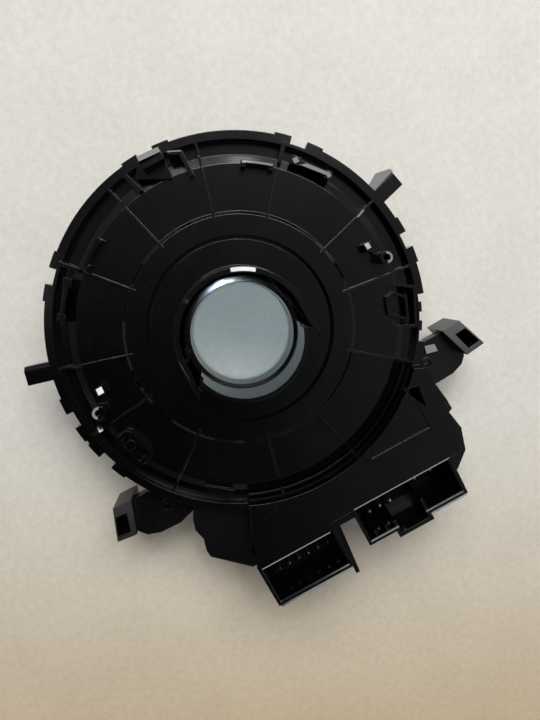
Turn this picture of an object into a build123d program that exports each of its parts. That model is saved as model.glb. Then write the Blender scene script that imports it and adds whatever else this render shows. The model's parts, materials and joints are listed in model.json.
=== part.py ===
from build123d import *
import math
import os

# A steering clock spring. Z is the steering axis, +Z points to the steering column, and the part
# rests on z = 0 with its steering wheel side down. +Y is away from the column sockets.

# Driving dimensions, in millimetres and degrees.

# Levels
rim_level = 22.0            # top of the back cover's rim
face_height = 1.5           # the ribbed face above the rim
boss_height = 0.7           # the raised middle above the ribbed face
skin = 1.9                  # wall of the back cover
plate_level = 8.0           # wheel side of the rotor's plate
plate_thickness = 2.0
fit_gap = 0.05              # between pieces that are pushed together
running_gap = 0.4           # between faces that turn past each other
seat_gap = 0.3              # between a piece and what it lies on loosely

# Back cover
rim_radius = 54.0
lip_width = 2.3
channel_width = 3.4
channel_depth = 3.0
shoulder_width = 3.2
boss_radius = 32.7
boss_slope = 0.9            # width of the slope down from the boss
hub_hole_radius = 26.3
skirt_depth = 8.5
skirt_wall = 1.5
bearing_lip = 1.0           # the cover's lip that keeps the turning body in
journal_clearance = 0.08    # radial, between the cam sleeve and that lip

# Outer case and rotor
case_wall = 1.8
case_wall_inset = 8.8        # from the rim's edge to the outside of the case wall
case_foot_gap = 0.8         # between the rotor's plate and the foot of the case wall
case_flange = 1.8
plate_inset = 2.0            # from the rim's edge to the rotor plate's edge
drum_radius = 25.3
drum_wall = 2.3
collar_radius = 26.2
collar_wall = 2.8
hook_clearance = 1.4        # round the sleeve's hooks, outside the drum's bore

# Cam sleeve
sleeve_gap = 1.1            # groove between the sleeve's flange and the cover
sleeve_flange = 1.8
sleeve_wall = 1.5
bore_radius = 13.7
tube_wall = 1.6
half_tube_wall = 1.0
bore_foot_height = 3.0      # heights of the sleeve's parts above the rim
low_tube_height = 10.0
tall_tube_height = 25.0
cam_height = 20.0
throat_radius = 18.4
cam_radius = 17.3
cam_wall = 1.3
cam_corner = (17.4, -8.6)
cam_end = (14.5, -4.4)
tall_tube_start = -163.0
tall_tube_end = -17.0

# Flat cable, carrier and rollers
cable_thickness = 0.3
cable_pitch = 0.75
cable_turns = 2
roller_count = 4
roller_gap = 0.35           # between a roller and the cable beside it
roller_pin_radius = 2.0
roller_bore_gap = 0.08
carrier_thickness = 1.1
film_thickness = 0.2

# Hood and column side sockets
hood_height = 6.0           # top of the hood above the rim
hood_skin = 1.6
hood_inset = 4.0            # from the rim's edge to the inside of the hood's curved front
socket_wall = 1.2
socket_depth = 14.5
mouth_bevel = 0.4
large_socket = (3.2, 36.3, -60.6, -74.05)
small_socket = (-29.0, -3.8, -63.1, -77.1)
keyway = (13.5, 22.7)
keyway_depth = 2.3
pin_width = 1.0
small_pin_width = 0.64
large_pin_height = 5.0
small_pin_height = 4.5
pin_spacing = 3.6           # between the large socket's signal pins
small_pin_spacing = 3.4
key_rib_width = 0.8
insert_thickness = 2.2

# Lower housing, arms and clips
housing_drop = 2.2          # top of the lower housing under the rim
housing_height = 13.0
housing_wall = 1.8
arm_drop = 6.0              # top of the arms under the rim
arm_thickness = 3.4
arm_hole = (45.35, -37.05)
arm_hole_radius = 1.1
arm_boss_radius = 2.1
arm_boss_length = 9.0
clip_drop = 1.5             # top of the clips under the rim
clip_height = 13.0
clip_slope = 14.0            # of the clips' tops, down toward +Y

# Wheel side sockets and drive posts
wheel_socket_y = 39.3
airbag_socket = (15.0, 8.6)
switch_socket = (21.0, 8.0)
wheel_socket_wall = 1.1
wheel_pin_height = 3.0
airbag_pin_spacing = 2.6
switch_pin_spacing = 2.4
drive_post_x = 38.0
drive_post_radius = 2.6

# Levels and radii that follow
face_level = rim_level + face_height
boss_level = face_level + boss_height
channel_level = rim_level - channel_depth
channel_under = channel_level - skin
ceiling_level = face_level - skin
skirt_foot = rim_level - skirt_depth
lip_inner_radius = rim_radius - lip_width
channel_inner_radius = lip_inner_radius - channel_width
face_radius = channel_inner_radius - shoulder_width
case_wall_radius = rim_radius - case_wall_inset
plate_radius = rim_radius - plate_inset
hood_inner_radius = rim_radius - hood_inset
plate_top = plate_level + plate_thickness
case_foot = plate_top + case_foot_gap
case_inner_radius = case_wall_radius - case_wall
drum_bore_radius = drum_radius - drum_wall
sleeve_radius = drum_bore_radius - fit_gap
bearing_radius = sleeve_radius + journal_clearance
flange_radius = hub_hole_radius - sleeve_gap
flange_top = boss_level - seat_gap
flange_level = flange_top - sleeve_flange
bearing_top = flange_level - running_gap
bearing_level = bearing_top - bearing_lip
drum_top = bearing_level - running_gap
ledge_level = plate_top - 1.0
hood_top = rim_level + hood_height
hood_under = hood_top - hood_skin
housing_top = rim_level - housing_drop
housing_foot = housing_top - housing_height
arm_top = rim_level - arm_drop
arm_foot = arm_top - arm_thickness
clip_top = rim_level - clip_drop
socket_floor = hood_top - socket_depth
insert_foot = socket_floor - insert_thickness
film_top = plate_top + film_thickness
carrier_foot = film_top + seat_gap
carrier_top = carrier_foot + carrier_thickness
cable_foot = carrier_top + seat_gap
cable_top = bearing_level - seat_gap
coil_width = cable_turns * cable_pitch
outer_cable_radius = case_inner_radius - seat_gap - cable_thickness / 2
inner_cable_radius = drum_radius + seat_gap + cable_thickness / 2
turn_outer = outer_cable_radius - coil_width
turn_inner = inner_cable_radius + coil_width
roller_orbit = (turn_outer + turn_inner) / 2
turn_radius = (turn_outer - turn_inner) / 2
roller_radius = turn_radius - cable_thickness / 2 - roller_gap


def ring(outer, inner, low, high):
    """A plain ring about the steering axis."""
    return Pos(0, 0, low) * extrude(Circle(outer) - Circle(inner), high - low)


def disc(radius, low, high):
    """A plain disc about the steering axis."""
    return Pos(0, 0, low) * extrude(Circle(radius), high - low)


def block(x_low, x_high, y_low, y_high, z_low, z_high):
    """A box between two corners."""
    size = (x_high - x_low, y_high - y_low, z_high - z_low)
    centre = ((x_low + x_high) / 2, (y_low + y_high) / 2, (z_low + z_high) / 2)
    return Pos(*centre) * Box(*size)


def sector(inner, outer, start, end):
    """A face between two radii and two angles."""
    outside = CenterArc((0, 0), outer, start, end - start)
    inside = CenterArc((0, 0), inner, start, end - start)
    return make_face([outside, inside, Line(outside @ 0, inside @ 0), Line(outside @ 1, inside @ 1)])


def ring_part(inner, outer, start, end, low, high):
    """A part of a ring between two angles."""
    return Pos(0, 0, low) * extrude(sector(inner, outer, start, end), high - low)


def slab(points, low, high):
    """A flat plate with a straight-sided outline."""
    return Pos(0, 0, low) * extrude(make_face(Polyline(*points, close=True)), high - low)


def turned(points):
    """A solid turned about the steering axis from radius and height pairs."""
    return revolve(Plane.XZ * make_face(Polyline(*points, close=True)), Axis.Z)


def bar(start, end, thickness, low, high):
    """An upright wall between two points."""
    run = math.dist(start, end)
    heading = math.degrees(math.atan2(end[1] - start[1], end[0] - start[0]))
    middle = ((start[0] + end[0]) / 2, (start[1] + end[1]) / 2)
    wall = extrude(Rectangle(run, thickness), high - low)
    return Pos(middle[0], middle[1], low) * Rot(0, 0, heading) * wall


def at_angle(angle, solid):
    """The solid turned about the steering axis."""
    return Rot(0, 0, angle) * solid


def both_sides(solid):
    """The solid and its mirror image across the YZ plane."""
    return [solid, mirror(solid, Plane.YZ)]


def polar(radius, angle):
    """A point at a radius and an angle."""
    return (radius * math.cos(math.radians(angle)), radius * math.sin(math.radians(angle)))


# Back cover

rib_thickness = 0.6
rib_height = 0.3
rib_angles = (75.2, 49.0, 16.0, -7.5, -39.0, -76.0)
notch_angles = (0.2, 44.5, 90.0, 135.8, 180.0, -164.0)
notch_half_angle = 2.4
notch_depth = 1.4
bump_angle = 5.0
bump_height = 0.6
saw_start = -32.0
saw_end = -17.0
saw_depth = 1.8
saw_teeth = (-21.0, -27.0)
key_tab_angle = 15.6
key_tab_reach = 61.0
key_tab_width = 5.2
key_tab_bevel = 1.1
key_tab_offset = 0.55       # of the tab's middle from the line through the axis
key_tab_height = 4.0
gate_start = -151.0
gate_end = -27.0


def cover_shell():
    """The turned form of the cover: lip, channel, shoulder, ribbed face, boss and bearing lip."""
    register_radius = case_wall_radius + fit_gap
    outside = [
        (bearing_radius, bearing_level),
        (bearing_radius, bearing_top),
        (hub_hole_radius, bearing_top),
        (hub_hole_radius, boss_level),
        (boss_radius - boss_slope, boss_level),
        (boss_radius, face_level),
        (face_radius, face_level),
        (face_radius + shoulder_width * 0.65, face_level - face_height * 0.6),
        (channel_inner_radius, channel_level),
        (lip_inner_radius, channel_level),
        (lip_inner_radius, rim_level),
        (rim_radius, rim_level),
    ]
    inside = [
        (rim_radius, skirt_foot),
        (rim_radius - skirt_wall, skirt_foot),
        (rim_radius - skirt_wall, channel_under),
        (register_radius, channel_under),
        (register_radius, ceiling_level),
        (hub_hole_radius + skin, ceiling_level),
        (hub_hole_radius + skin, bearing_level),
    ]
    return turned(outside + inside)


def cover_ribs():
    """Thin radial ribs from the boss across the channel to the lip."""
    profile = [
        (boss_radius - 2.0, ceiling_level + 0.5),
        (boss_radius - 2.0, boss_level + rib_height * 0.2),
        (face_radius, face_level + rib_height),
        (channel_inner_radius, rim_level),
        (lip_inner_radius + 1.0, rim_level),
        (lip_inner_radius + 1.0, channel_level - 0.5),
        (channel_inner_radius, channel_level - 0.5),
        (face_radius - 1.0, ceiling_level + 0.5),
    ]
    rib = extrude(Plane.XZ * make_face(Polyline(*profile, close=True)), rib_thickness / 2, both=True)
    ribs = []
    for angle in rib_angles:
        ribs += both_sides(at_angle(angle, rib))
    return ribs


def rim_bumps():
    """Raised lands of the rim, one each side of every notch."""
    lands = []
    for angle in notch_angles:
        for near in (angle + notch_half_angle, angle - notch_half_angle - bump_angle):
            land = ring_part(rim_radius - 0.5, rim_radius + bump_height, near, near + bump_angle,
                             skirt_foot, rim_level)
            lands.append(land)
    return lands


def rim_notches():
    """Cuts across the rim, seen as steps of its outline."""
    cuts = []
    for angle in notch_angles:
        cuts.append(ring_part(rim_radius - notch_depth, rim_radius + 3, angle - notch_half_angle,
                              angle + notch_half_angle, case_foot, rim_level + 1))
    return cuts


def saw_cut():
    """The stretch of the rim that is set back."""
    return ring_part(rim_radius - saw_depth, rim_radius + 3, saw_start, saw_end, case_foot, rim_level + 1)


def saw_points():
    """The low teeth that stay in the set back stretch."""
    floor_radius = rim_radius - saw_depth
    teeth = []
    for angle in saw_teeth:
        teeth.append(ring_part(floor_radius - 0.3, floor_radius + 0.75, angle - 1.6, angle + 1.6,
                               channel_level, rim_level))
    return teeth


def key_tab():
    """A flat tab that stands out of the rim, with a bevel along one side."""
    low = key_tab_offset - key_tab_width / 2
    high = key_tab_offset + key_tab_width / 2
    tab = block(lip_inner_radius, key_tab_reach, low, high, rim_level - key_tab_height, rim_level)
    edge = tab.faces().sort_by(Axis.Z)[-1].edges().sort_by(Axis.Y)[-1]
    return at_angle(key_tab_angle, chamfer(edge, key_tab_bevel))


post_foot = ceiling_level + 0.4
post_x = 44.3
post_y = -0.7
post_radius = 1.7
post_hole = 0.85
post_height = 7.0
square_post = (41.6, 4.0)
square_post_size = 2.3
square_post_height = 5.5


def locating_posts():
    """Each side has a round hollow post and a square post beside it."""
    top = rim_level + post_height
    low = channel_level - 0.5
    tube = extrude(Circle(post_radius) - Circle(post_hole), top - low)
    half = square_post_size / 2
    x, y = square_post
    square = block(x - half, x + half, y - half, y + half, post_foot, rim_level + square_post_height)
    web = bar(square_post, (post_x, post_y), 1.0, post_foot, face_level + 1.6)
    bored = Pos(post_x, post_y, top) * Cylinder(post_hole, 30)
    return both_sides(Pos(post_x, post_y, low) * tube + (square + web - bored))


latch_wall = 1.1
latch_height = 4.0
snap_arm = (43.6, 45.4, 50.6, 61.8)
latch_block = 2.3
side_latch = ((34.7, 33.3), (40.8, 25.9))
side_latch_ends = (((33.6, 34.3), (35.3, 32.4)), ((40.0, 26.8), (41.2, 25.2)))


def latch_walls():
    """Latch walls beside the rim, in mirrored pairs: a curved snap arm, a web, a wall with end blocks."""
    high = rim_level + latch_height
    low = channel_level - 0.5
    hook_inner, arm_radius, start, end = snap_arm
    walls = [
        ring_part(arm_radius - latch_wall, arm_radius, start, end, post_foot, high),
        ring_part(hook_inner, arm_radius, end - 1.5, end, post_foot, high + 0.6),
        ring_part(hook_inner, arm_radius, start, start + 1.5, post_foot, high),
        bar(polar(46.5, 48.8), polar(lip_inner_radius + 0.6, 48.8), latch_wall, low, rim_level + 2.0),
        bar(side_latch[0], side_latch[1], latch_wall, low, high),
    ]
    walls += [bar(start, end, latch_block, low, high) for start, end in side_latch_ends]
    pairs = []
    for wall in walls:
        pairs += both_sides(wall)
    return pairs


def top_latch():
    """The block at the top of the cover with a hook wall each side."""
    low = channel_level - 0.5
    high = rim_level + 3.2
    foot = slab(((-2.8, 52.2), (3.9, 52.2), (3.4, 44.2), (-5.4, 48.4)), low, rim_level + 2.4)
    cap = block(-2.4, 3.8, 48.9, 52.2, low, rim_level + 6.0)
    hooks = [
        bar((5.2, 50.4), (8.6, 49.0), latch_wall, low, high),
        bar((8.3, 49.2), (8.2, 42.4), latch_wall, low, high),
        bar((-7.3, 50.4), (-5.7, 45.2), latch_wall, low, high),
    ]
    return [foot, cap] + hooks


window_points = ((42.9, -8.2), (49.3, -13.0), (45.3, -22.6), (40.4, -20.2), (38.3, -16.1), (40.1, -9.0))
window_frame = 0.8
loop_points = ((40.8, -11.2), (43.3, -10.8), (46.4, -13.9), (44.0, -20.5), (39.0, -16.2))
loop_wall = 0.7
pocket_centre = (-41.9, -14.4)
pocket_turn = 14
pocket_size = (5.2, 10.4)


def window_outline(margin):
    """The outline of the cover's window, grown outward by a margin."""
    return offset(make_face(Polyline(*window_points, close=True)), margin, kind=Kind.INTERSECTION)


def window_wall():
    """The upright frame that stands round the window."""
    low = channel_under + 0.3
    frame = window_outline(window_frame) - window_outline(0)
    inside = disc(case_wall_radius + 1, low - 1, post_foot)
    return Pos(0, 0, low) * extrude(frame, rim_level + 0.4 - low) - inside


def window_loop():
    """The thin upright loop that stands in the window."""
    outline = make_face(Polyline(*loop_points, close=True))
    wall = outline - offset(outline, -loop_wall, kind=Kind.INTERSECTION)
    low = channel_level
    return Pos(0, 0, low) * extrude(wall, face_level - low)


def window_cut():
    """The window, through the channel's floor but not through the roof over the cable."""
    low = channel_under - 1
    hole = Pos(0, 0, low) * extrude(window_outline(0), 12)
    return hole - disc(case_wall_radius + 1, low - 1, post_foot)


def latch_pocket():
    """The rounded hollow block on the left, opposite the window."""
    width, length = pocket_size
    outline = Rot(0, 0, pocket_turn) * RectangleRounded(width, length, 1.6)
    hollow = Rot(0, 0, pocket_turn) * RectangleRounded(width - 2.2, length - 2.6, 0.7)
    body = extrude(outline, rim_level + 4.6 - post_foot) - Pos(0, 0, 2.2) * extrude(hollow, 20)
    stud = Pos(-0.2, 1.2, 0) * extrude(Circle(1.4), 5.0)
    return Pos(pocket_centre[0], pocket_centre[1], post_foot) * (body + stud)


def small_latches():
    """The low walls beside the rim at the left."""
    low = channel_level - 0.5
    lower = bar((-30.9, -35.4), (-24.6, -40.6), 1.5, low, rim_level + 2.2)
    side = bar((-46.3, -3.4), (-46.9, -6.4), 1.9, low, rim_level + 2.6)
    return [lower, side]


# Hood and column side sockets, in one with the back cover

hood_front_start = -116.0
hood_front_end = -40.5
hood_left_x, hood_left_y = polar(hood_inner_radius, hood_front_start)
hood_right_x, hood_right_y = polar(hood_inner_radius, hood_front_end)
hood_side = [
    (hood_left_x - 3.3, hood_left_y - 7.8),
    (-28.6, -64.3),
    (-3.6, -64.3),
    (-3.6, -61.8),
    (36.3, -61.8),
    (hood_right_x + 1.8, -61.2),
    (hood_right_x + 3.5, -57.5),
    (hood_right_x + 3.5, hood_right_y - 1.7),
]
hood_step = (15.6, 34.7, -50.3)
wedge_points = ((32.6, -36.4), (36.3, -44.4), (37.0, -37.8))
front_ridge = (48.8, 49.5)
fin_web = ((-4.1, -61.5), (-1.5, -61.5), (-3.1, -80.1), (-4.3, -80.1))
bridge = (-4.2, 3.6, -64.6, -61.2)


def socket_shell(frame):
    """A connector shell, open to the column side, with a bevel round its mouth."""
    left, right, near, far = frame
    shell = block(left, right, far, near, insert_foot - 1.0, hood_top)
    hollow = block(left + socket_wall, right - socket_wall, far + socket_wall, near - socket_wall,
                   insert_foot - 2.0, hood_top + 1)
    mouth = Rectangle(right - left - 2 * socket_wall, near - far - 2 * socket_wall)
    bevel = extrude(mouth, mouth_bevel, taper=-45)
    hollow += Pos((left + right) / 2, (near + far) / 2, hood_top - mouth_bevel) * bevel
    return shell, hollow


def hood_roof():
    """The raised plate over the cable's exit, with its front and side walls."""
    edge = ThreePointArc(polar(hood_inner_radius, hood_front_start),
                         polar(hood_inner_radius, (hood_front_start + hood_front_end) / 2),
                         polar(hood_inner_radius, hood_front_end))
    outline = make_face([edge, Polyline(edge @ 0, *hood_side, edge @ 1)])
    roof = Pos(0, 0, housing_top) * extrude(outline, hood_top - housing_top)
    inner = offset(outline, -hood_skin, kind=Kind.INTERSECTION)
    roof -= Pos(0, 0, housing_top - 1) * extrude(inner, hood_under - housing_top + 1)
    front = ring_part(hood_inner_radius, hood_inner_radius + hood_skin, hood_front_start,
                      hood_front_end, channel_level - 0.5, hood_top - 0.5)
    ridge = ring_part(front_ridge[0], front_ridge[1], hood_front_start, hood_front_end,
                      channel_level - 0.5, rim_level)
    return roof + front + ridge


def key_ribs():
    """Upright ribs on the far wall inside the large socket."""
    wall = large_socket[3] + socket_wall - 0.3
    half = key_rib_width / 2
    ribs = []
    for x, reach in ((6.5, 1.8), (10.1, 1.8), (keyway[0] - half, 1.8), (keyway[1] + half, 3.8)):
        ribs.append(block(x - half, x + half, wall, wall + 0.3 + reach, socket_floor, hood_top - 0.6))
    return ribs


def hood():
    """The hood with both connector shells and the fin between them."""
    body = hood_roof()
    left, right, line = hood_step
    body -= block(left, right, line, line + 12, hood_top - 0.5, hood_top + 1)
    body -= slab(wedge_points, hood_under - 1, hood_top + 1)
    large_shell, large_hollow = socket_shell(large_socket)
    small_shell, small_hollow = socket_shell(small_socket)
    far = large_socket[3]
    key_low, key_high = keyway
    key_body = block(key_low - socket_wall, key_high + socket_wall, far - keyway_depth, far + 0.5,
                     insert_foot - 1.0, hood_top)
    key_hollow = block(key_low, key_high, far - keyway_depth + socket_wall, far + socket_wall + 0.5,
                       socket_floor, hood_top + 1)
    body += [large_shell, small_shell, key_body]
    body -= [large_hollow, small_hollow, key_hollow]
    body += key_ribs()
    left, right, far, near = bridge
    body += slab(fin_web, insert_foot, hood_top - 0.6)
    body += block(left, right, far, near, insert_foot, hood_under)
    return body


def back_cover():
    """The ribbed moulding that faces the steering column."""
    body = cover_shell()
    body += cover_ribs()
    body += rim_bumps()
    body -= rim_notches()
    body -= saw_cut()
    body += saw_points()
    body += both_sides(key_tab())
    body += locating_posts()
    body += latch_walls()
    body += top_latch()
    body += small_latches()
    body += latch_pocket()
    body += window_wall()
    body -= window_cut()
    body += window_loop()
    body -= ring(case_wall_radius + fit_gap, hub_hole_radius + skin, skirt_foot, ceiling_level)
    body -= ring_part(rim_radius - skirt_wall - 1, rim_radius + 4, gate_start, gate_end,
                      skirt_foot - 1, channel_under)
    body += hood()
    return body


# Outer case

housing_points = (
    (-36.5, -38.0), (-39.9, -43.6), (-40.9, -47.0), (-40.1, -50.5), (-41.2, -54.5), (-41.0, -56.8),
    (-31.5, -66.3), (-29.2, -66.3), (-29.2, -60.4), (36.5, -60.4), (36.5, -70.4), (38.6, -70.4),
    (43.4, -66.0), (45.2, -58.9), (43.9, -52.6), (45.2, -51.9), (44.9, -48.5), (43.9, -42.7),
    (41.0, -36.0),
)
housing_hollow = (
    (-34.5, -38.0), (-38.9, -46.0), (-38.9, -55.5), (-36.0, -58.6), (42.4, -58.6), (42.6, -50.0),
    (41.9, -43.0), (39.0, -36.0),
)
arm_points = (
    (44.0, -31.6), (48.2, -30.3), (54.5, -30.2), (57.2, -38.6), (56.7, -40.3), (55.0, -42.3),
    (51.2, -43.7), (44.5, -44.0), (38.0, -42.0), (38.0, -36.0),
)
clip_outer = ((52.6, -29.1), (58.7, -28.9), (61.8, -37.9), (55.7, -38.6))
clip_inner = ((55.6, -31.9), (59.1, -31.6), (60.9, -36.7), (57.0, -37.1))
lead_half_width = 5.0


def lower_housing():
    """The open box that carries the sockets' roots, with ribs across it."""
    body = slab(housing_points, housing_foot, housing_top)
    body -= slab(housing_hollow, housing_foot - 1, housing_top - housing_wall)
    for x in (-24.0, 10.5, 27.0):
        body += bar((x, -53.0), (x, -59.5), 1.2, housing_foot + 2, housing_top - 1)
    body -= disc(rim_radius + seat_gap, channel_under - seat_gap, rim_level)
    body -= disc(plate_radius + 1, 0, case_foot)
    return body


def arm():
    """One arm with its pin hole and its clip loop."""
    body = slab(arm_points, arm_foot, arm_top)
    body += Pos(arm_hole[0], arm_hole[1], arm_top + 0.5 - arm_boss_length) * extrude(
        Circle(arm_boss_radius), arm_boss_length)
    middle_y = (clip_outer[0][1] + clip_outer[2][1]) / 2
    above = Box(40, 40, 10, align=(Align.CENTER, Align.CENTER, Align.MIN))
    clip = slab(clip_outer, clip_top - clip_height, clip_top + 3)
    clip -= Pos(clip_outer[0][0], middle_y, clip_top) * Rot(-clip_slope, 0, 0) * above
    body += clip
    body -= slab(clip_inner, arm_foot - 3, clip_top + 3)
    body -= Pos(arm_hole[0], arm_hole[1], arm_top) * Cylinder(arm_hole_radius, 3 * arm_boss_length)
    return body


def stator_case():
    """The outer case: wall, flange, lower housing, arms and clips."""
    flange = ring(rim_radius, case_inner_radius, skirt_foot - case_flange, skirt_foot)
    flange -= rim_notches()
    flange -= saw_cut()
    body = ring(case_wall_radius, case_inner_radius, case_foot, ceiling_level) + flange
    body += lower_housing()
    body += both_sides(arm())
    body -= disc(case_inner_radius, 0, rim_level)
    body -= lead_block_form(fit_gap)
    return body


def lead_block_form(margin):
    """The stator's lead block, or with a margin the room it takes in the case."""
    half = lead_half_width + margin
    near = -case_inner_radius + seat_gap
    form = block(-half, half, -52.0, near + margin, cable_foot - margin, channel_under - seat_gap + margin)
    form += block(-half * 3, half * 3, -57.6, -50.0, cable_foot - margin, channel_under - seat_gap + margin)
    return form


def socket_insert(frame, pins, width):
    """The plate at the bottom of a socket, with a hole for each pin."""
    left, right, near, far = frame
    edge = socket_wall + fit_gap
    plate = block(left + edge, right - edge, far + edge, near - edge, insert_foot, socket_floor)
    hole = Box(width + 2 * fit_gap, width + 2 * fit_gap, 20)
    return plate - [Pos(x, y, socket_floor) * hole for x, y in pins]


def socket_pins(pins, width, height):
    """The pins of a socket, each with a tapered tip."""
    low = insert_foot - 2.5
    shank = Pos(0, 0, low) * extrude(Rectangle(width, width), socket_floor + height - low)
    tip = shank.faces().sort_by(Axis.Z)[-1].edges()
    shank = chamfer(tip, width * 0.28)
    return Compound(children=[Pos(x, y, 0) * copy_of(shank) for x, y in pins])


def copy_of(solid):
    """A solid of its own for each place."""
    return Solid(solid.solids()[0].wrapped)


signal_pins = [(8.3 + pin_spacing * column, row) for column in range(3) for row in (-64.6, -69.6)]
large_pins = signal_pins + [(25.5, -67.0), (31.0, -67.0)]
small_pins = [(-24.9 + small_pin_spacing * column, row) for column in range(6) for row in (-68.2, -72.2)]


# Rotor

rotor_ribs = 8
rotor_rib_height = 2.4
riser_inner = 26.35
riser_outer = 27.15
riser_half_angle = 10.0
hook_room = plate_level - 1.0   # the collar's bore is wider from here up, round the sleeve's hooks


def wheel_socket(size, y):
    """A connector shell that opens to the steering wheel side."""
    width, depth = size
    wall = wheel_socket_wall
    shell = block(-width / 2, width / 2, y - depth / 2, y + depth / 2, 0.4, plate_level + 0.5)
    hollow = block(-width / 2 + wall, width / 2 - wall, y - depth / 2 + wall, y + depth / 2 - wall,
                   -1, plate_level)
    return shell, hollow


def wheel_pins(count, pitch, y):
    """A row of pins on the wheel side of the rotor's plate."""
    pins = []
    for place in range(count):
        pin = extrude(Rectangle(small_pin_width, small_pin_width), -wheel_pin_height)
        pin = chamfer(pin.faces().sort_by(Axis.Z)[0].edges(), small_pin_width * 0.25)
        pins.append(Pos((place - (count - 1) / 2) * pitch, y, plate_level) * copy_of(pin))
    return Compound(children=pins)


def rotor():
    """The turning moulding: plate, drum, collar, wheel side sockets and drive posts."""
    boss_bore = collar_radius - collar_wall
    hook_bore = drum_bore_radius + hook_clearance
    body = ring(plate_radius, hook_bore, hook_room, plate_top)
    body += ring(collar_radius, hook_bore, hook_room, plate_level + 0.5)
    body += ring(collar_radius, boss_bore, 0, hook_room)
    body += ring(drum_radius, drum_bore_radius, ledge_level, drum_top)
    body -= ring(plate_radius + 1, collar_radius, 0, plate_level)
    for place in range(rotor_ribs):
        rib = block(collar_radius - 0.5, plate_radius - 2, -0.6, 0.6,
                    plate_level - rotor_rib_height, plate_level + 0.5)
        body += at_angle(22.5 + 360 / rotor_ribs * place, rib)
    for side in (-1, 1):
        post = Cylinder(drive_post_radius, plate_level, align=(Align.CENTER, Align.CENTER, Align.MIN))
        bore = Cylinder(drive_post_radius - 1.3, plate_level * 1.4)
        body += Pos(side * drive_post_x, 0, 0) * post
        body -= Pos(side * drive_post_x, 0, 0) * bore
    for size, y in ((airbag_socket, wheel_socket_y), (switch_socket, -wheel_socket_y)):
        shell, hollow = wheel_socket(size, y)
        body += shell
        body -= hollow
    body -= ring_part(riser_inner - fit_gap, riser_outer + fit_gap, -90 - riser_half_angle - 0.2,
                      -90 + riser_half_angle + 0.2, plate_level - 1, plate_top + 1)
    return body


def rotor_lead_block():
    """The block where the cable's inner end meets the wheel side pins."""
    low = plate_level - 3.4
    half = 7.0
    plate = block(-half, half, -34.9, -riser_inner, low, plate_level)
    plate -= disc(collar_radius + seat_gap, 0, plate_level + 1)
    riser = ring_part(riser_inner, riser_outer, -90 - riser_half_angle, -90 + riser_half_angle,
                      plate_level - 0.5, cable_foot - seat_gap)
    riser -= disc(collar_radius + fit_gap, 0, plate_level)
    return plate + riser


# Cam sleeve

fin_pairs = (((13.2, 3.4), (16.4, 0.4)), ((14.9, 3.9), (15.2, 1.2)))
fin_thickness = 0.8
cam_slot = (104.0, 120.0)
cam_slot_depth = 6.0
sleeve_hooks = 3
hook_width = 8.0


def sleeve_body():
    """The turned form of the sleeve: tube, flange and the skirt that is pushed into the drum."""
    skirt_low = ledge_level - 1.8
    bore_foot = rim_level + bore_foot_height
    tube_radius = bore_radius + tube_wall
    profile = [
        (bore_radius, bore_foot),
        (bore_radius, rim_level + low_tube_height),
        (tube_radius, rim_level + low_tube_height),
        (tube_radius, bore_foot + 0.8),
        (throat_radius - 0.2, flange_top),
        (flange_radius, flange_top),
        (flange_radius, flange_level),
        (sleeve_radius, flange_level),
        (sleeve_radius, skirt_low),
        (sleeve_radius - sleeve_wall, skirt_low),
        (sleeve_radius - sleeve_wall, flange_level - 1.2),
        (throat_radius, flange_level + 0.2),
    ]
    return turned(profile)


def cam_outline(inset):
    """The cancelling cam's outline, seen along the axis, drawn in by an inset."""
    radius = cam_radius - inset
    corner = (cam_corner[0] - inset, cam_corner[1] + inset * 1.9)
    end = (cam_end[0] - inset * 0.6, cam_end[1] + inset * 1.1)
    start = (radius - 0.05, -2.0)
    over = ThreePointArc(start, (0, radius), (-start[0], start[1]))
    sides = Polyline(over @ 1, (-corner[0], corner[1]), (-end[0], end[1]), end, corner, over @ 0)
    return make_face([over, sides])


def cancelling_cam():
    """The cam: a thin wall round the upper part of the tube, with a sharp corner each side."""
    wall = cam_outline(0) - cam_outline(cam_wall)
    wall = Pos(0, 0, flange_top - 0.5) * extrude(wall, rim_level + cam_height - flange_top + 0.5)
    slot_start, slot_end = cam_slot
    return wall - ring_part(bore_radius, cam_radius + 2, slot_start, slot_end,
                            rim_level + cam_height - cam_slot_depth, rim_level + cam_height + 1)


def bore_room():
    """The room inside the sleeve: its throat, its bore and the inside of the tall half tube."""
    wide = bore_radius + tube_wall - half_tube_wall
    low_tube_top = rim_level + low_tube_height
    top = rim_level + tall_tube_height + 1
    return turned([
        (0, flange_level - 1), (throat_radius, flange_level - 1), (throat_radius, flange_level + 0.2),
        (bore_radius, rim_level + bore_foot_height), (bore_radius, low_tube_top), (wide, low_tube_top),
        (wide, top), (0, top),
    ])


def cam_sleeve():
    """The sleeve with the tall half of its tube, the cancelling cam, the fins and the hooks."""
    tube_radius = bore_radius + tube_wall
    fin_foot = rim_level + low_tube_height - 2
    upper = ring_part(bore_radius, tube_radius, tall_tube_start, tall_tube_end, fin_foot,
                      rim_level + tall_tube_height)
    upper += cancelling_cam()
    for start, end in fin_pairs:
        upper += both_sides(bar(start, end, fin_thickness, fin_foot, fin_foot + 5))
    body = sleeve_body() + (upper - bore_room())
    half_angle = math.degrees(hook_width / 2 / sleeve_radius)
    for place in range(sleeve_hooks):
        angle = 360 / sleeve_hooks * place + 90
        hook = ring_part(sleeve_radius - 0.5, drum_bore_radius + 0.9, angle - half_angle,
                         angle + half_angle, ledge_level - 1.8, ledge_level - 0.2)
        body += hook
    return body


# Carrier, rollers, films and cable

roller_start = -90.0


def roller_places():
    """The angle of each roller about the steering axis."""
    return [roller_start + 360 / roller_count * place for place in range(roller_count)]


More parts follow.
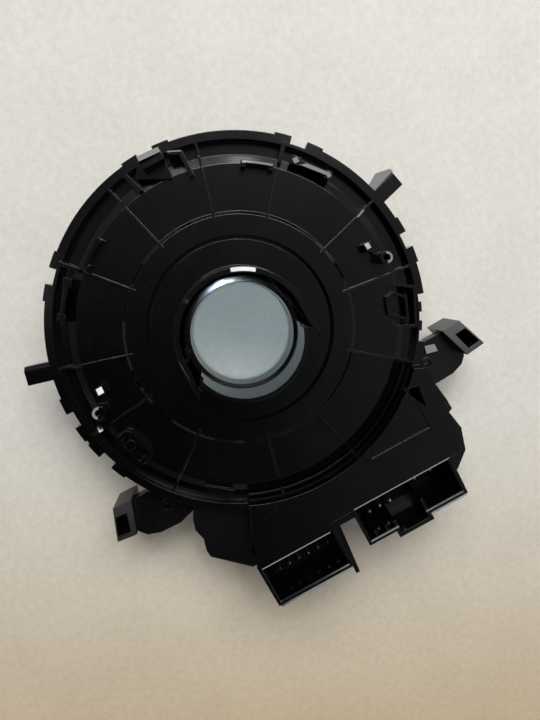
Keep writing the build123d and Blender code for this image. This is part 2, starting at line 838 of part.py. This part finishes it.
def roller_carrier():
    """The ring that carries the rollers on its pins."""
    margin = 0.6
    body = ring(turn_outer - margin, turn_inner + margin, carrier_foot, carrier_top)
    for angle in roller_places():
        x, y = polar(roller_orbit, angle)
        pin = extrude(Circle(roller_pin_radius), cable_top - carrier_foot - 0.2)
        body += Pos(x, y, carrier_foot) * pin
    return body


def roller(angle):
    """One roller, a thick-walled bush."""
    low = carrier_top + 0.2
    bush = extrude(Circle(roller_radius) - Circle(roller_pin_radius + roller_bore_gap), cable_top - low)
    x, y = polar(roller_orbit, angle)
    return Pos(x, y, low) * bush


def cable_bend(centre, radius, start, sweep):
    """A stretch of the cable, bent about a centre."""
    half = cable_thickness / 2
    outside = CenterArc(centre, radius + half, start, sweep)
    inside = CenterArc(centre, radius - half, start, sweep)
    face = make_face([outside, inside, Line(outside @ 0, inside @ 0), Line(outside @ 1, inside @ 1)])
    return Pos(0, 0, cable_foot) * extrude(face, cable_top - cable_foot)


def flat_cable():
    """The ribbon: coils inside the case wall, a U-turn round a roller, and coils on the drum."""
    step = cable_pitch / 2
    back = polar(step, roller_start + 180)
    body = cable_bend(polar(roller_orbit, roller_start), turn_radius, roller_start, 180)
    for half_turn in range(2 * cable_turns):
        outer_radius = outer_cable_radius - step * half_turn
        inner_radius = turn_inner - step * half_turn
        centre = (0, 0) if half_turn % 2 == 0 else back
        start = roller_start + 180 * half_turn
        body += cable_bend(centre, outer_radius, start, 180)
        body += cable_bend(centre, inner_radius, -start, -180)
    return body


rear_film_inner = hub_hole_radius + skin + seat_gap
rear_film_foot = ceiling_level - film_thickness
film_outer = turn_outer + 0.6

pieces = {
    "back_cover": back_cover,
    "stator_case": stator_case,
    "stator_lead_block": lambda: lead_block_form(0),
    "large_socket_insert": lambda: socket_insert(large_socket, large_pins, pin_width),
    "small_socket_insert": lambda: socket_insert(small_socket, small_pins, small_pin_width),
    "large_socket_pins": lambda: socket_pins(large_pins, pin_width, large_pin_height),
    "small_socket_pins": lambda: socket_pins(small_pins, small_pin_width, small_pin_height),
    "rear_slide_film": lambda: ring(film_outer, rear_film_inner, rear_film_foot, ceiling_level),
    "rotor": rotor,
    "rotor_lead_block": rotor_lead_block,
    "airbag_pins": lambda: wheel_pins(4, airbag_pin_spacing, wheel_socket_y),
    "switch_pins": lambda: wheel_pins(7, switch_pin_spacing, -wheel_socket_y),
    "front_slide_film": lambda: ring(film_outer, riser_outer + 0.5, plate_top, film_top),
    "cam_sleeve": cam_sleeve,
    "roller_carrier": roller_carrier,
    "flat_cable": flat_cable,
}

os.makedirs("parts", exist_ok=True)
for name, make in pieces.items():
    export_step(make(), f"parts/{name}.step")
for number, angle in enumerate(roller_places(), 1):
    export_step(roller(angle), f"parts/roller_{number}.step")
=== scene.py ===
import json
import math

import bmesh
import bpy
import numpy as np
from mathutils import Matrix, Vector


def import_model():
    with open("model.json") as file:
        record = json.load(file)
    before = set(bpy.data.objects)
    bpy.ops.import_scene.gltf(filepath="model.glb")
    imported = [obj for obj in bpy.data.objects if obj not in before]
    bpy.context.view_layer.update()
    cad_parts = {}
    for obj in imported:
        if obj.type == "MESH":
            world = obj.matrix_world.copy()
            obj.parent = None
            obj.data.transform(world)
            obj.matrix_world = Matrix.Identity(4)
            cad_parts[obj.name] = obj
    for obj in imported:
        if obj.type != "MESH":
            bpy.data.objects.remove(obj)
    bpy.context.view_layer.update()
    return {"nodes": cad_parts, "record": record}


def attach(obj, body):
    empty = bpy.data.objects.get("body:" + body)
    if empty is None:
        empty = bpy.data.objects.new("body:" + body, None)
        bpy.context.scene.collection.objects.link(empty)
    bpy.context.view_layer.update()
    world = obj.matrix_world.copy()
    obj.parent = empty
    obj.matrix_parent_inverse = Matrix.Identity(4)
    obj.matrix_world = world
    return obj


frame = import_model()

MM = 0.001
RIM = 22.0 * MM              # height of the cover's rim over the floor
BOARD_HALF = 1.5             # half the side of the board under the part
SENSOR_HEIGHT = 24.0
FOCAL_SHARE = 541.0 / 720.0  # focal length over the height of the frame
BORE_WAY = Vector((0.0085, 0.0985, 1.0)).normalized()
BORE_DISTANCE = 0.16
BORE_CONE = 10.4             # degrees, just wide enough for the shaft's bore
PALE_END = 0.62              # cosine to the sky's dark way where the sky is palest
DARK_END = 0.93              # and where it is darkest
MIX_LOW, MIX_HIGH, MIX_OUT = 6, 7, 2  # the colour sockets of a mix node

# the view in the part's frame: where it is taken from, and its right, up and back
VIEW_FROM = Vector((1.296 * MM, 15.122 * MM, 153.154 * MM + RIM))
VIEW_RIGHT = Vector((0.8794, -0.4670, 0.0925))
VIEW_UP = Vector((0.4759, 0.8674, -0.1452))
VIEW_BACK = Vector((-0.0124, 0.1717, 0.9851))


# ---------------------------------------------------------------- camera, lamps and sky

def camera():
    """Puts the camera over the column side, turned so that the connectors lie at the lower right."""
    turn = Matrix((VIEW_RIGHT, VIEW_UP, VIEW_BACK)).transposed().to_4x4()
    data = bpy.data.cameras.new("view")
    data.sensor_fit = "VERTICAL"
    data.sensor_height = SENSOR_HEIGHT
    data.lens = FOCAL_SHARE * SENSOR_HEIGHT
    data.clip_start = 0.01
    data.clip_end = 20.0
    cam = bpy.data.objects.new("view", data)
    cam.matrix_world = Matrix.Translation(VIEW_FROM) @ turn
    bpy.context.scene.collection.objects.link(cam)
    bpy.context.scene.camera = cam


def hang(data, way, distance):
    """Puts a light at hub + distance * way, facing back at the hub, which is at the rim's height."""
    light = bpy.data.objects.new(data.name, data)
    light.location = way * distance + Vector((0, 0, RIM))
    light.rotation_euler = way.to_track_quat("Z", "Y").to_euler()
    bpy.context.scene.collection.objects.link(light)
    return light


def lamp(name, azimuth, elevation, distance, size, watts, colour=(1.0, 1.0, 1.0), wide=None):
    """A soft square light, or size by wide, seen from the hub at an azimuth and an elevation in degrees.

    Its way is (cos(azimuth) cos(elevation), sin(azimuth) cos(elevation), sin(elevation)).
    """
    a, e = math.radians(azimuth), math.radians(elevation)
    way = Vector((math.cos(a) * math.cos(e), math.sin(a) * math.cos(e), math.sin(e)))
    data = bpy.data.lights.new(name, "AREA")
    data.shape = "RECTANGLE"
    data.size = wide or size
    data.size_y = size
    data.energy = watts
    data.color = colour
    hang(data, way, distance)


def bore_lamp(watts):
    """A narrow spot down the shaft's bore along the line of view, so that the floor shows through it."""
    data = bpy.data.lights.new("bore", "SPOT")
    data.energy = watts
    data.color = (0.68, 0.87, 1.0)
    data.spot_size = math.radians(BORE_CONE)
    data.spot_blend = 0.15
    data.shadow_soft_size = 1.0 * MM
    hang(data, BORE_WAY, BORE_DISTANCE).visible_camera = False


def world(pale, dark):
    """A plain sky of two strengths: dark overhead and to the lower left of the view, pale at the horizon.

    The strength goes evenly from pale to dark as the cosine to the dark way goes from PALE_END to DARK_END.
    """
    sky = bpy.data.worlds.new("sky")
    sky.use_nodes = True
    bpy.context.scene.world = sky
    tree = sky.node_tree
    tree.nodes.clear()
    coord = tree.nodes.new("ShaderNodeTexCoord")
    dark_way = (Vector((0, 0, 1)) - 0.5 * VIEW_RIGHT - 0.6 * VIEW_UP).normalized()
    facing = along(tree, coord.outputs["Generated"], dark_way)
    back = tree.nodes.new("ShaderNodeBackground")
    back.inputs["Color"].default_value = (0.95, 0.97, 1.0, 1.0)
    out = tree.nodes.new("ShaderNodeOutputWorld")
    tree.links.new(span(tree, facing, PALE_END, DARK_END, pale, dark), back.inputs["Strength"])
    tree.links.new(back.outputs[0], out.inputs[0])


# ---------------------------------------------------------------- shader nodes and their groups

def new_group(name, inputs, outputs):
    """An empty shader group with named sockets; returns it with its input and output nodes."""
    group = bpy.data.node_groups.new(name, "ShaderNodeTree")
    for label, kind, value in inputs:
        group.interface.new_socket(label, in_out="INPUT", socket_type=kind).default_value = value
    for label, kind in outputs:
        group.interface.new_socket(label, in_out="OUTPUT", socket_type=kind)
    return group, group.nodes.new("NodeGroupInput"), group.nodes.new("NodeGroupOutput")


def maths(tree, operation, *values, clamp=False):
    """A math node fed by sockets or numbers; returns its result."""
    node = tree.nodes.new("ShaderNodeMath")
    node.operation = operation
    node.use_clamp = clamp
    for port, value in zip(node.inputs, values):
        if isinstance(value, (int, float)):
            port.default_value = value
        else:
            tree.links.new(value, port)
    return node.outputs[0]


def along(tree, vector, way):
    """The dot product of a vector socket with a fixed way, or with another socket."""
    node = tree.nodes.new("ShaderNodeVectorMath")
    node.operation = "DOT_PRODUCT"
    tree.links.new(vector, node.inputs[0])
    if isinstance(way, Vector):
        node.inputs[1].default_value = way
    else:
        tree.links.new(way, node.inputs[1])
    return node.outputs["Value"]


def noise(tree, vector, scale, detail=2.0, rough=0.5, distortion=0.0):
    """A noise texture on the given coordinates; returns its factor."""
    node = tree.nodes.new("ShaderNodeTexNoise")
    node.inputs["Detail"].default_value = detail
    node.inputs["Roughness"].default_value = rough
    node.inputs["Distortion"].default_value = distortion
    if isinstance(scale, (int, float)):
        node.inputs["Scale"].default_value = scale
    else:
        tree.links.new(scale, node.inputs["Scale"])
    tree.links.new(vector, node.inputs["Vector"])
    return node.outputs["Fac"]


def span(tree, value, low, high, to_low=0.0, to_high=1.0):
    """Maps low..high evenly onto to_low..to_high, clamped."""
    node = tree.nodes.new("ShaderNodeMapRange")
    ends = {"From Min": low, "From Max": high, "To Min": to_low, "To Max": to_high}
    for label, number in ends.items():
        node.inputs[label].default_value = number
    tree.links.new(value, node.inputs["Value"])
    return node.outputs["Result"]


def edge_group():
    """Soft arrises: a rounded normal, and a mask that is 1 on the arrises and 0 on flats; the materials
    paint the arrises lighter under this mask, partly as wear and partly as a painted highlight.
    """
    group, inside, out = new_group(
        "soft_arris",
        [("Radius", "NodeSocketFloat", 0.0002), ("Wear", "NodeSocketFloat", 1.0)],
        [("Normal", "NodeSocketVector"), ("Mask", "NodeSocketFloat")])
    bevel = group.nodes.new("ShaderNodeBevel")
    bevel.samples = 6
    group.links.new(inside.outputs["Radius"], bevel.inputs["Radius"])
    geometry = group.nodes.new("ShaderNodeNewGeometry")
    same = along(group, bevel.outputs[0], geometry.outputs["True Normal"])
    bent = maths(group, "SUBTRACT", 1.0, same, clamp=True)
    coord = group.nodes.new("ShaderNodeTexCoord")
    patches = noise(group, coord.outputs["Object"], scale=420.0, detail=3.0)
    uneven = span(group, patches, 0.35, 0.65, 0.35, 1.0)
    # the edge mask in uneven patches: where arrises are painted lighter, as wear and as painted highlight
    rubbed_and_highlit = maths(group, "MULTIPLY", span(group, bent, 0.02, 0.25), uneven)
    worn_and_highlit = maths(group, "MULTIPLY", rubbed_and_highlit, inside.outputs["Wear"], clamp=True)
    group.links.new(bevel.outputs[0], out.inputs["Normal"])
    group.links.new(worn_and_highlit, out.inputs["Mask"])
    return group


def skin_group():
    """Moulded skin: a height of 0.6 fine grain + 0.8 slow waves, and slow clouds for the sheen."""
    group, inside, out = new_group(
        "moulded_skin",
        [("Grain", "NodeSocketFloat", 2600.0), ("Flow", "NodeSocketFloat", 28.0)],
        [("Height", "NodeSocketFloat"), ("Cloud", "NodeSocketFloat")])
    where = group.nodes.new("ShaderNodeTexCoord").outputs["Object"]
    fine = noise(group, where, inside.outputs["Grain"], detail=2.0, rough=0.6)
    cloud = noise(group, where, inside.outputs["Flow"], detail=4.0, rough=0.55, distortion=0.6)
    wave = noise(group, where, scale=190.0, detail=1.0, rough=0.4, distortion=1.5)
    height = maths(group, "ADD", maths(group, "MULTIPLY", fine, 0.6), maths(group, "MULTIPLY", wave, 0.8))
    group.links.new(height, out.inputs["Height"])
    group.links.new(cloud, out.inputs["Cloud"])
    return group


def dust_group():
    """Dust on faces that look up: (specks where dust gathers + a thin haze) * how far the face looks up."""
    group, inside, out = new_group(
        "settled_dust",
        [("Amount", "NodeSocketFloat", 1.0), ("Size", "NodeSocketFloat", 900.0)],
        [("Mask", "NodeSocketFloat")])
    where = group.nodes.new("ShaderNodeTexCoord").outputs["Object"]
    geometry = group.nodes.new("ShaderNodeNewGeometry")
    split = group.nodes.new("ShaderNodeSeparateXYZ")
    group.links.new(geometry.outputs["Normal"], split.inputs[0])
    upward = span(group, split.outputs["Z"], 0.2, 0.9)
    grain = group.nodes.new("ShaderNodeTexVoronoi")
    group.links.new(inside.outputs["Size"], grain.inputs["Scale"])
    group.links.new(where, grain.inputs["Vector"])
    speck = span(group, grain.outputs["Distance"], 0.10, 0.20, 1.0, 0.0)
    area = span(group, noise(group, where, scale=95.0, detail=3.0), 0.52, 0.72)
    veil = span(group, noise(group, where, scale=60.0, detail=5.0, rough=0.7), 0.5, 0.8)
    haze = maths(group, "MULTIPLY", veil, 0.16)
    both = maths(group, "ADD", maths(group, "MULTIPLY", speck, area), haze)
    lying = maths(group, "MULTIPLY", both, upward)
    shown = maths(group, "MULTIPLY", lying, inside.outputs["Amount"], clamp=True)
    group.links.new(shown, out.inputs["Mask"])
    return group


SOFT_ARRIS = edge_group()
MOULDED_SKIN = skin_group()
SETTLED_DUST = dust_group()


# ---------------------------------------------------------------- materials

def place(tree, group, **values):
    """One use of a group in a material, with its own values."""
    node = tree.nodes.new("ShaderNodeGroup")
    node.node_tree = group
    for label, value in values.items():
        node.inputs[label].default_value = value
    return node


def start_material(name):
    """A material with an empty tree, its Principled shader and output."""
    mat = bpy.data.materials.new(name)
    mat.use_nodes = True
    tree = mat.node_tree
    tree.nodes.clear()
    shader = tree.nodes.new("ShaderNodeBsdfPrincipled")
    out = tree.nodes.new("ShaderNodeOutputMaterial")
    tree.links.new(shader.outputs[0], out.inputs["Surface"])
    return mat, tree, shader


def blend_colour(tree, factor, low, high):
    """Mixes two colours, each a socket or a value."""
    node = tree.nodes.new("ShaderNodeMix")
    node.data_type = "RGBA"
    tree.links.new(factor, node.inputs["Factor"])
    for port, value in ((MIX_LOW, low), (MIX_HIGH, high)):
        if isinstance(value, tuple):
            node.inputs[port].default_value = (*value, 1.0)
        else:
            tree.links.new(value, node.inputs[port])
    return node.outputs[MIX_OUT]


def raise_relief(tree, shader, height, strength, depth, normal=None):
    """Feeds the shader a bump of a height socket, depth metres deep, over a normal if one is given."""
    relief = tree.nodes.new("ShaderNodeBump")
    relief.inputs["Strength"].default_value = strength
    relief.inputs["Distance"].default_value = depth
    tree.links.new(height, relief.inputs["Height"])
    if normal is not None:
        tree.links.new(normal, relief.inputs["Normal"])
    tree.links.new(relief.outputs[0], shader.inputs["Normal"])


def moulded_plastic(name, dark, light, rough, arris=0.2, edge_wear_and_highlight=0.4, dust=0.06, bump=0.04, spec=0.5,
                    rubbed_and_highlit=(0.02, 0.02, 0.02)):
    """Injection moulded plastic with soft arrises painted lighter (wear and painted highlight), a fine
    grain, clouds of sheen and a little dust.
    """
    mat, tree, shader = start_material(name)
    arrises = place(tree, SOFT_ARRIS, Radius=arris * MM, Wear=edge_wear_and_highlight)
    skin = place(tree, MOULDED_SKIN, Grain=2600.0, Flow=26.0)
    dusty = place(tree, SETTLED_DUST, Amount=dust, Size=760.0)
    body = blend_colour(tree, span(tree, skin.outputs["Cloud"], 0.3, 0.7), dark, light)
    # arrises painted in the edge colour: part wear, part painted highlight standing in for glints on the
    # edges
    worn_and_highlit = blend_colour(tree, arrises.outputs["Mask"], body, rubbed_and_highlit)
    shown = blend_colour(tree, dusty.outputs["Mask"], worn_and_highlit, (0.30, 0.29, 0.27))
    tree.links.new(shown, shader.inputs["Base Color"])
    sheen = span(tree, skin.outputs["Cloud"], 0.25, 0.75, rough - 0.02, rough + 0.03)
    dull = maths(tree, "ADD", sheen, maths(tree, "MULTIPLY", dusty.outputs["Mask"], 0.3), clamp=True)
    tree.links.new(dull, shader.inputs["Roughness"])
    raise_relief(tree, shader, skin.outputs["Height"], bump, 0.2 * MM, arrises.outputs["Normal"])
    shader.inputs["Specular IOR Level"].default_value = spec
    return mat


def plated_metal(name, colour, stain, rough):
    """Plated contact metal with draw lines along the pin and a faint stain."""
    mat, tree, shader = start_material(name)
    coord = tree.nodes.new("ShaderNodeTexCoord")
    long_way = tree.nodes.new("ShaderNodeMapping")
    long_way.inputs["Scale"].default_value = (1.0, 1.0, 0.06)
    tree.links.new(coord.outputs["Object"], long_way.inputs["Vector"])
    lines = noise(tree, long_way.outputs[0], scale=5200.0, detail=3.0)
    patch = noise(tree, coord.outputs["Object"], scale=900.0, detail=2.0)
    plating = blend_colour(tree, span(tree, patch, 0.45, 0.7), colour, stain)
    tree.links.new(plating, shader.inputs["Base Color"])
    tree.links.new(span(tree, lines, 0.3, 0.7, rough - 0.06, rough + 0.1), shader.inputs["Roughness"])
    arrises = place(tree, SOFT_ARRIS, Radius=0.08 * MM, Wear=0.0)
    raise_relief(tree, shader, lines, 0.15, 0.05 * MM, arrises.outputs["Normal"])
    shader.inputs["Metallic"].default_value = 1.0
    return mat


def ribbon_material(name):
    """Laminated flat cable: amber film over copper tracks that run along the ribbon.

    A track lies where sin(2 pi z / pitch) is above zero, with soft sides.
    """
    pitch = 1.05 * MM
    mat, tree, shader = start_material(name)
    coord = tree.nodes.new("ShaderNodeTexCoord")
    split = tree.nodes.new("ShaderNodeSeparateXYZ")
    tree.links.new(coord.outputs["Object"], split.inputs[0])
    across = maths(tree, "MULTIPLY", split.outputs["Z"], 2 * math.pi / pitch)
    track = span(tree, maths(tree, "SINE", across), -0.25, 0.1)
    clouds = noise(tree, coord.outputs["Object"], scale=160.0, detail=3.0)
    copper = blend_colour(tree, clouds, (0.45, 0.20, 0.09), (0.62, 0.30, 0.14))
    film = blend_colour(tree, clouds, (0.42, 0.22, 0.06), (0.55, 0.33, 0.12))
    tree.links.new(blend_colour(tree, track, film, copper), shader.inputs["Base Color"])
    tree.links.new(span(tree, track, 0.0, 1.0, 0.32, 0.22), shader.inputs["Roughness"])
    raise_relief(tree, shader, track, 0.4, 0.05 * MM)
    return mat


def floor_material():
    """Pale board with a faint fibre mottle, with painted shade: darker and warmer toward the lower side of
    the view, where the light falls off.
    """
    mat, tree, shader = start_material("pale_board")
    where = tree.nodes.new("ShaderNodeTexCoord").outputs["Object"]
    mottle = noise(tree, where, scale=420.0, detail=6.0, rough=0.7)
    broad = noise(tree, where, scale=40.0, detail=5.0, rough=0.6)
    # painted light falloff: the board's colour goes from pale at the upper side of the view to darker and
    # warmer at the lower side
    painted_falloff_share = span(tree, along(tree, where, VIEW_UP), low=-0.16, high=-0.03)
    painted_falloff_colour = blend_colour(tree, painted_falloff_share, (0.66, 0.515, 0.325), (0.80, 0.775, 0.715))
    fibres = span(tree, mottle, 0.2, 0.8, 0.0, 0.75)
    patch = maths(tree, "ADD", fibres, span(tree, broad, 0.3, 0.7, 0.0, 0.25))
    shade = tree.nodes.new("ShaderNodeMix")
    shade.data_type = "RGBA"
    shade.blend_type = "MULTIPLY"
    shade.inputs["Factor"].default_value = 1.0
    tree.links.new(painted_falloff_colour, shade.inputs[MIX_LOW])
    tree.links.new(blend_colour(tree, patch, (0.77, 0.76, 0.73), (1.0, 1.0, 1.0)), shade.inputs[MIX_HIGH])
    tree.links.new(shade.outputs[MIX_OUT], shader.inputs["Base Color"])
    shader.inputs["Roughness"].default_value = 0.85
    shader.inputs["Specular IOR Level"].default_value = 0.2
    raise_relief(tree, shader, mottle, 0.25, 0.6 * MM)
    return mat


# the edge amount and edge colour of each plastic paint its arrises lighter: part wear, part painted
# highlight
PLASTICS = {
    "cover_black": {
        "dark": (0.0010, 0.0010, 0.0012), "light": (0.0018, 0.0016, 0.0018), "rough": 0.15, "dust": 0.045},
    "crisp_black": {
        "dark": (0.0014, 0.0014, 0.0016), "light": (0.0024, 0.0022, 0.0024), "rough": 0.13,
        "arris": 0.04, "edge_wear_and_highlight": 0.0, "dust": 0.02, "bump": 0.01},
    "case_black": {
        "dark": (0.0018, 0.0018, 0.0020), "light": (0.0032, 0.0030, 0.0030), "rough": 0.26},
    "sleeve_black": {
        "dark": (0.0014, 0.0014, 0.0013), "light": (0.0024, 0.0023, 0.0021), "rough": 0.12},
    "rotor_black": {
        "dark": (0.0025, 0.0025, 0.0028), "light": (0.004, 0.004, 0.0043), "rough": 0.30},
    "inner_black": {
        "dark": (0.010, 0.010, 0.010), "light": (0.016, 0.016, 0.016), "rough": 0.55, "spec": 0.3},
    "insert_black": {
        "dark": (0.001, 0.001, 0.001), "light": (0.002, 0.002, 0.002), "rough": 0.55,
        "spec": 0.2, "dust": 0.02},
    "film": {
        "dark": (0.60, 0.58, 0.52), "light": (0.68, 0.66, 0.60), "rough": 0.40,
        "arris": 0.05, "edge_wear_and_highlight": 0.0, "dust": 0.1, "rubbed_and_highlit": (0.6, 0.6, 0.58)},
    "carrier_white": {
        "dark": (0.68, 0.68, 0.65), "light": (0.75, 0.75, 0.72), "rough": 0.42,
        "edge_wear_and_highlight": 0.2, "dust": 0.15, "rubbed_and_highlit": (0.8, 0.8, 0.78)},
    "roller_white": {
        "dark": (0.70, 0.70, 0.68), "light": (0.78, 0.78, 0.75), "rough": 0.38,
        "edge_wear_and_highlight": 0.2, "dust": 0.1, "rubbed_and_highlit": (0.82, 0.82, 0.8)},
}
METALS = {
    "tinned": {"colour": (0.70, 0.70, 0.69), "stain": (0.52, 0.51, 0.48), "rough": 0.25},
    "gilt": {"colour": (0.78, 0.58, 0.26), "stain": (0.62, 0.44, 0.18), "rough": 0.24},
}
FINISH = {
    **{name: moulded_plastic(name, **look) for name, look in PLASTICS.items()},
    **{name: plated_metal(name, **look) for name, look in METALS.items()},
    "ribbon": ribbon_material("ribbon"),
}


def dress_nodes():
    """Gives every node of the model the finish of its own material slot."""
    slots = {part["node"]: part["material_slot"] for part in frame["record"]["subparts"]}
    for name, obj in frame["nodes"].items():
        obj.data.materials.clear()
        obj.data.materials.append(FINISH[slots[name]])


# ---------------------------------------------------------------- small sloped facets on the moulding

def level_at(points, height):
    """Points (x, y) lifted to one height."""
    return np.column_stack([points, np.full(len(points), height)])


def closed_piece(name, rings, body):
    """A closed mesh between rings of points of equal count: sides between neighbours, a face on either end.

    rings is an array (levels, points, 3) in millimetres; side k of a level joins points k and k + 1 of its
    ring to the same two of the next.
    """
    rings = rings * MM
    levels, count = rings.shape[:2]
    here = np.arange(levels * count).reshape(levels, count)
    after = np.roll(here, -1, axis=1)
    sides = np.stack([here[:-1], after[:-1], after[1:], here[1:]], axis=-1).reshape(-1, 4)
    faces = [here[0, ::-1].tolist(), here[-1].tolist(), *sides.tolist()]
    mesh = bpy.data.meshes.new(name)
    mesh.from_pydata(rings.reshape(-1, 3).tolist(), [], faces)
    solid = bmesh.new()
    solid.from_mesh(mesh)
    bmesh.ops.recalc_face_normals(solid, faces=solid.faces)
    solid.to_mesh(mesh)
    solid.free()
    mesh.materials.append(FINISH["crisp_black"])
    piece = bpy.data.objects.new(name, mesh)
    bpy.context.scene.collection.objects.link(piece)
    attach(piece, body)


def sloped_cap(name, corners, foot, height, azimuth, tilt, body="stator", slot="cover_black"):
    """A prism over a footprint, with a sloped top that looks toward the azimuth.

    The top is z = height - tan(tilt) ((x - cx) cos(azimuth) + (y - cy) sin(azimuth)), (cx, cy) the middle.
    """
    rim = np.array(corners, float)
    a = math.radians(azimuth)
    downhill = np.array([math.cos(a), math.sin(a)])
    fall = (rim - rim.mean(axis=0)) @ downhill * math.tan(math.radians(tilt))
    top = np.column_stack([rim, height - fall])
    closed_piece(name, np.stack([level_at(rim, foot), top]), body)


def bevel_strip(name, path, wide, foot, top, tilt, body="stator", slot="cover_black"):
    """A bevel along a path of (x, y): high on the path, lower by wide * tan(tilt) at its left-hand side.

    Each cross-section is (path, foot), (left, foot), (left, top - wide tan(tilt)), (path, top).
    """
    line = np.array(path, float)
    heading = np.gradient(line, axis=0)
    heading /= np.linalg.norm(heading, axis=1)[:, None]
    left = line + wide * np.column_stack([-heading[:, 1], heading[:, 0]])
    low = top - wide * math.tan(math.radians(tilt))
    corners = [level_at(line, foot), level_at(left, foot), level_at(left, low), level_at(line, top)]
    closed_piece(name, np.stack(corners, axis=1), body)


def box_round(centre, half_x, half_y):
    """The four corners centre + (+-half_x, +-half_y) of an upright rectangle, counter-clockwise."""
    signs = np.array([(-1, -1), (1, -1), (1, 1), (-1, 1)])
    return np.array(centre) + signs * (half_x, half_y)


def arc(radius, start, end, steps=8):
    """Points radius (cos t, sin t) about the hub, t going evenly from start to end in degrees."""
    turn = np.radians(np.linspace(start, end, steps))
    return np.column_stack([np.cos(turn), np.sin(turn)]) * radius


def sector(centre, inner, outer, start, end, steps=10):
    """The outline of a part of a flat ring, counter-clockwise: its outer arc, then its inner arc back."""
    out, back = arc(outer, start, end, steps), arc(inner, start, end, steps)[::-1]
    return np.concatenate([out, back]) + np.array(centre)


def facets():
    """The sloped tops and small bevels that catch the light round the rim, the cam and the connectors."""
    hood = {"foot": 27.6, "top": 28.1}
    sleeve = {"body": "turning", "slot": "sleeve_black"}
    sloped_cap("post_top_right", box_round((41.4, 4.3), half_x=0.65, half_y=0.8),
               foot=27.2, height=27.8, azimuth=86, tilt=19)
    sloped_cap("post_top_left", box_round((-41.3, 4.2), half_x=0.8, half_y=0.9),
               foot=27.2, height=28.1, azimuth=48, tilt=27.1)
    sloped_cap("pin_top_right", sector((44.3, -0.7), inner=1.0, outer=1.6, start=-110, end=70),
               foot=28.6, height=29.6, azimuth=88, tilt=16.5)
    sloped_cap("pin_top_left", sector((-44.3, -0.7), inner=0.9, outer=1.6, start=60, end=240),
               foot=28.3, height=29.9, azimuth=48, tilt=23)
    sloped_cap("block_top", box_round((0.7, 51.45), half_x=3.0, half_y=0.7),
               foot=27.3, height=28.9, azimuth=48, tilt=18)
    bevel_strip("hook_bevel", [(5.2, 50.5), (8.6, 49.1)], wide=0.4, foot=24.6, top=25.4, tilt=19)
    bevel_strip("snap_bevel", arc(44.6, start=51, end=61.5)[::-1], wide=0.6, foot=26.2, top=26.9, tilt=15)
    sloped_cap("latch_end_near", box_round((34.45, 33.35), half_x=0.75, half_y=0.75),
               foot=25.6, height=26.3, azimuth=79, tilt=9)
    sloped_cap("latch_end_far", box_round((40.6, 26.0), half_x=0.6, half_y=0.7),
               foot=25.6, height=26.3, azimuth=84, tilt=10)
    sloped_cap("key_tab_flank", [(51.5, 16.6), (58.6, 18.8), (58.2, 19.9), (54.2, 20.6), (50.8, 18.5)],
               foot=19.6, height=21.5, azimuth=95, tilt=11)
    sloped_cap("arm_step_top", [(46.1, -33.8), (49.6, -34.6), (49.8, -32.4), (46.9, -31.6)],
               foot=15.9, height=16.8, azimuth=88, tilt=20, slot="case_black")
    bevel_strip("cam_left_bevel", arc(16.9, start=205, end=150),
                wide=0.35, foot=41.5, top=42.1, tilt=34, **sleeve)
    sloped_cap("latch_bar", [(34.6, 32.2), (39.9, 26.1), (40.6, 26.8), (35.3, 32.9)],
               foot=25.0, height=26.3, azimuth=80, tilt=10)
    bevel_strip("large_mouth_bevel", [(36.0, -61.3), (4.0, -61.3)], wide=0.42, tilt=24, **hood)
    bevel_strip("small_mouth_bevel", [(-5.2, -63.9), (-27.8, -63.9)], wide=0.42, tilt=24, **hood)
    bevel_strip("large_far_bevel", [(23.6, -74.6), (35.8, -74.6)], wide=0.45, tilt=35, **hood)
    bevel_strip("small_far_bevel", [(-28.4, -77.6), (-4.4, -77.6)], wide=0.45, tilt=36, **hood)
    sloped_cap("cam_top_bevel", sector((0, 0), inner=16.2, outer=17.25, start=52, end=73),
               foot=41.6, height=42.35, azimuth=66, tilt=19.9, **sleeve)
    bevel_strip("cam_side_bevel", [(17.1, -8.6), (11.9, 11.8)],
                wide=0.3, foot=41.5, top=42.1, tilt=36, **sleeve)
    sloped_cap("rim_block_top", box_round((-47.5, -5.3), half_x=0.55, half_y=0.8),
               foot=24.2, height=25.3, azimuth=49, tilt=28.9)
    bevel_strip("pocket_bevel", arc(45.5, start=-165, end=-156), wide=0.4, foot=25.8, top=26.7, tilt=45)


# ---------------------------------------------------------------- the board and the whole scene

def floor():
    """A wide flat board under the part: a square of side 2 * BOARD_HALF at height 0."""
    mesh = bpy.data.meshes.new("board")
    corners = level_at(box_round((0, 0), BOARD_HALF, BOARD_HALF), 0.0)
    mesh.from_pydata(corners.tolist(), [], [(0, 1, 2, 3)])
    board = bpy.data.objects.new("board", mesh)
    board.data.materials.append(floor_material())
    bpy.context.scene.collection.objects.link(board)


def lights():
    """A pale sky, a broad key with a small core, small lamps for sparks and low ones all round."""
    world(pale=0.24, dark=0.01)
    lamp("key", azimuth=62, elevation=49, distance=0.9, size=0.5, wide=0.9,
         watts=8.6, colour=(0.98, 0.99, 1.0))
    lamp("core", azimuth=62, elevation=49, distance=1.2, size=0.12, watts=1.0)
    lamp("window", azimuth=59, elevation=32, distance=1.5, size=0.2, watts=0.7, colour=(1.0, 0.97, 0.93))
    lamp("spark_right", azimuth=31, elevation=64, distance=1.2, size=0.12, watts=0.6)
    lamp("spark_left", azimuth=151, elevation=65, distance=1.2, size=0.12, watts=0.2)
    lamp("side", azimuth=10, elevation=14, distance=1.4, size=0.3, watts=1.7, colour=(1.0, 0.98, 0.95))
    lamp("fill", azimuth=185, elevation=14, distance=1.5, size=0.35, watts=0.9, colour=(0.92, 0.96, 1.0))
    lamp("low", azimuth=-88, elevation=14, distance=1.2, size=0.2, wide=0.9,
         watts=2.6, colour=(1.0, 0.97, 0.92))
    bore_lamp(watts=0.56)


camera()
floor()
lights()
dress_nodes()
facets()

bpy.context.scene.view_settings.view_transform = "Standard"
